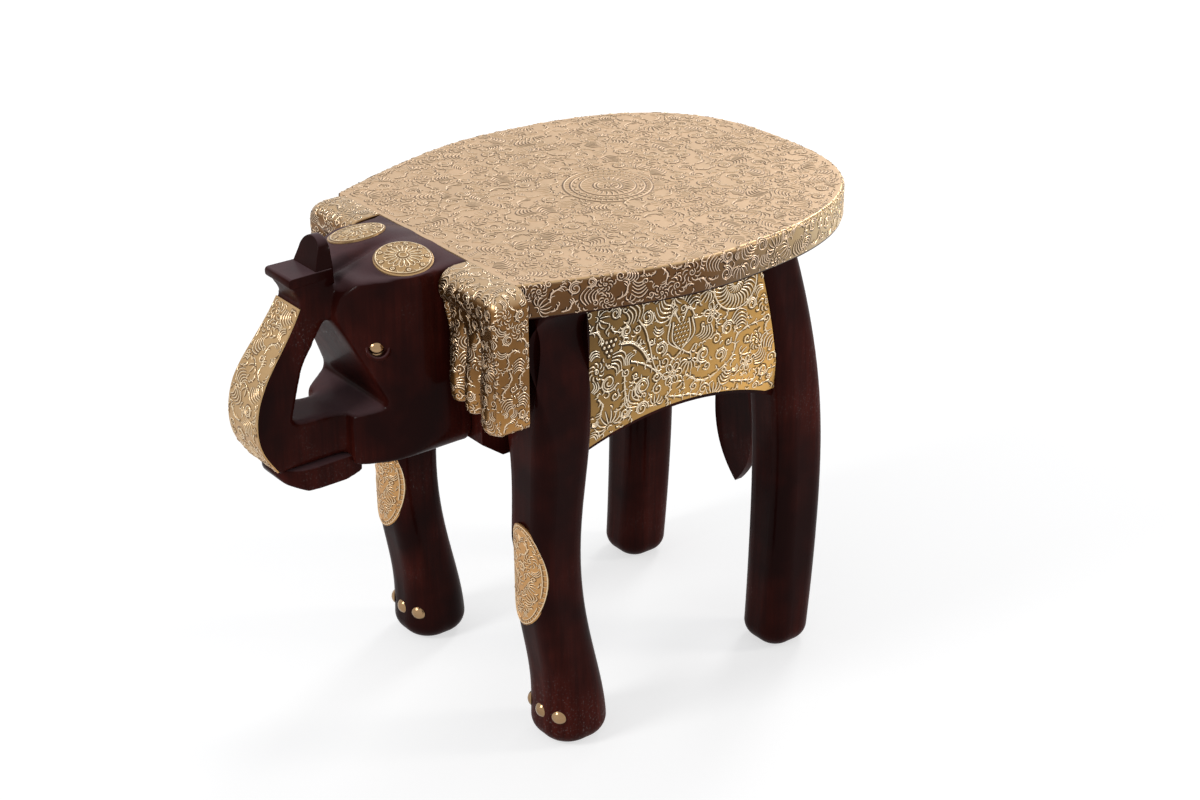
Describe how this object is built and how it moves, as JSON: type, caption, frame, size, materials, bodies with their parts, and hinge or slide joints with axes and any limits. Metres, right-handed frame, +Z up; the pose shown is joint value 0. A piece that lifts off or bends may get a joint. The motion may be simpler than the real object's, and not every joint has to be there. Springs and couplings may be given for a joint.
{
  "type": "elephant stool",
  "caption": "Low stool shaped as a standing elephant: carved dark wood with a brass-clad oval seat, brass ears and flanks, and a raised curling trunk.",
  "frame": {"origin": "on the floor, under the middle of the overall length and width", "axes": "+Z up; the elephant faces -Y; +X is the elephant's left"},
  "size_m": [0.241, 0.3902, 0.3235],
  "materials": {
    "dark_wood": "dark stained and lacquered, glossy",
    "dowel_wood": "plain, hidden in the joints",
    "seat_brass": "thin sheet, finely embossed, satin and paler than the rest",
    "rim_brass": "thin sheet, embossed, aged and darker",
    "ear_brass": "thin sheet, embossed, aged",
    "flank_brass": "thin sheet, deeply embossed, aged",
    "ornament_brass": "thin sheet, embossed, satin",
    "nail_brass": "domed heads, rubbed bright",
    "screw_steel": "plain, hidden under the seat's brass"
  },
  "bodies": {
    "root": {"ear_dowels": "dowel_wood", "eye_nails": "nail_brass", "forehead_discs": "ornament_brass", "head": "dark_wood", "head_dowels": "dowel_wood", "knee_plates": "ornament_brass", "left_ear": "dark_wood", "left_ear_sheet": "ear_brass", "left_flank_sheet": "flank_brass", "left_front_leg": "dark_wood", "left_hind_leg": "dark_wood", "leg_dowels": "dowel_wood", "lower_lip": "dark_wood", "lower_lip_dowel": "dowel_wood", "right_ear": "dark_wood", "right_ear_sheet": "ear_brass", "right_flank_sheet": "flank_brass", "right_front_leg": "dark_wood", "right_hind_leg": "dark_wood", "seat_board": "dark_wood", "seat_rim_band": "rim_brass", "seat_screws": "screw_steel", "seat_top_sheet": "seat_brass", "sheet_pins": "nail_brass", "tail": "dark_wood", "tail_dowel": "dowel_wood", "toe_nails": "nail_brass", "torso": "dark_wood", "trunk": "dark_wood", "trunk_dowel": "dowel_wood", "trunk_strip": "ornament_brass"}
  },
  "joints": []
}
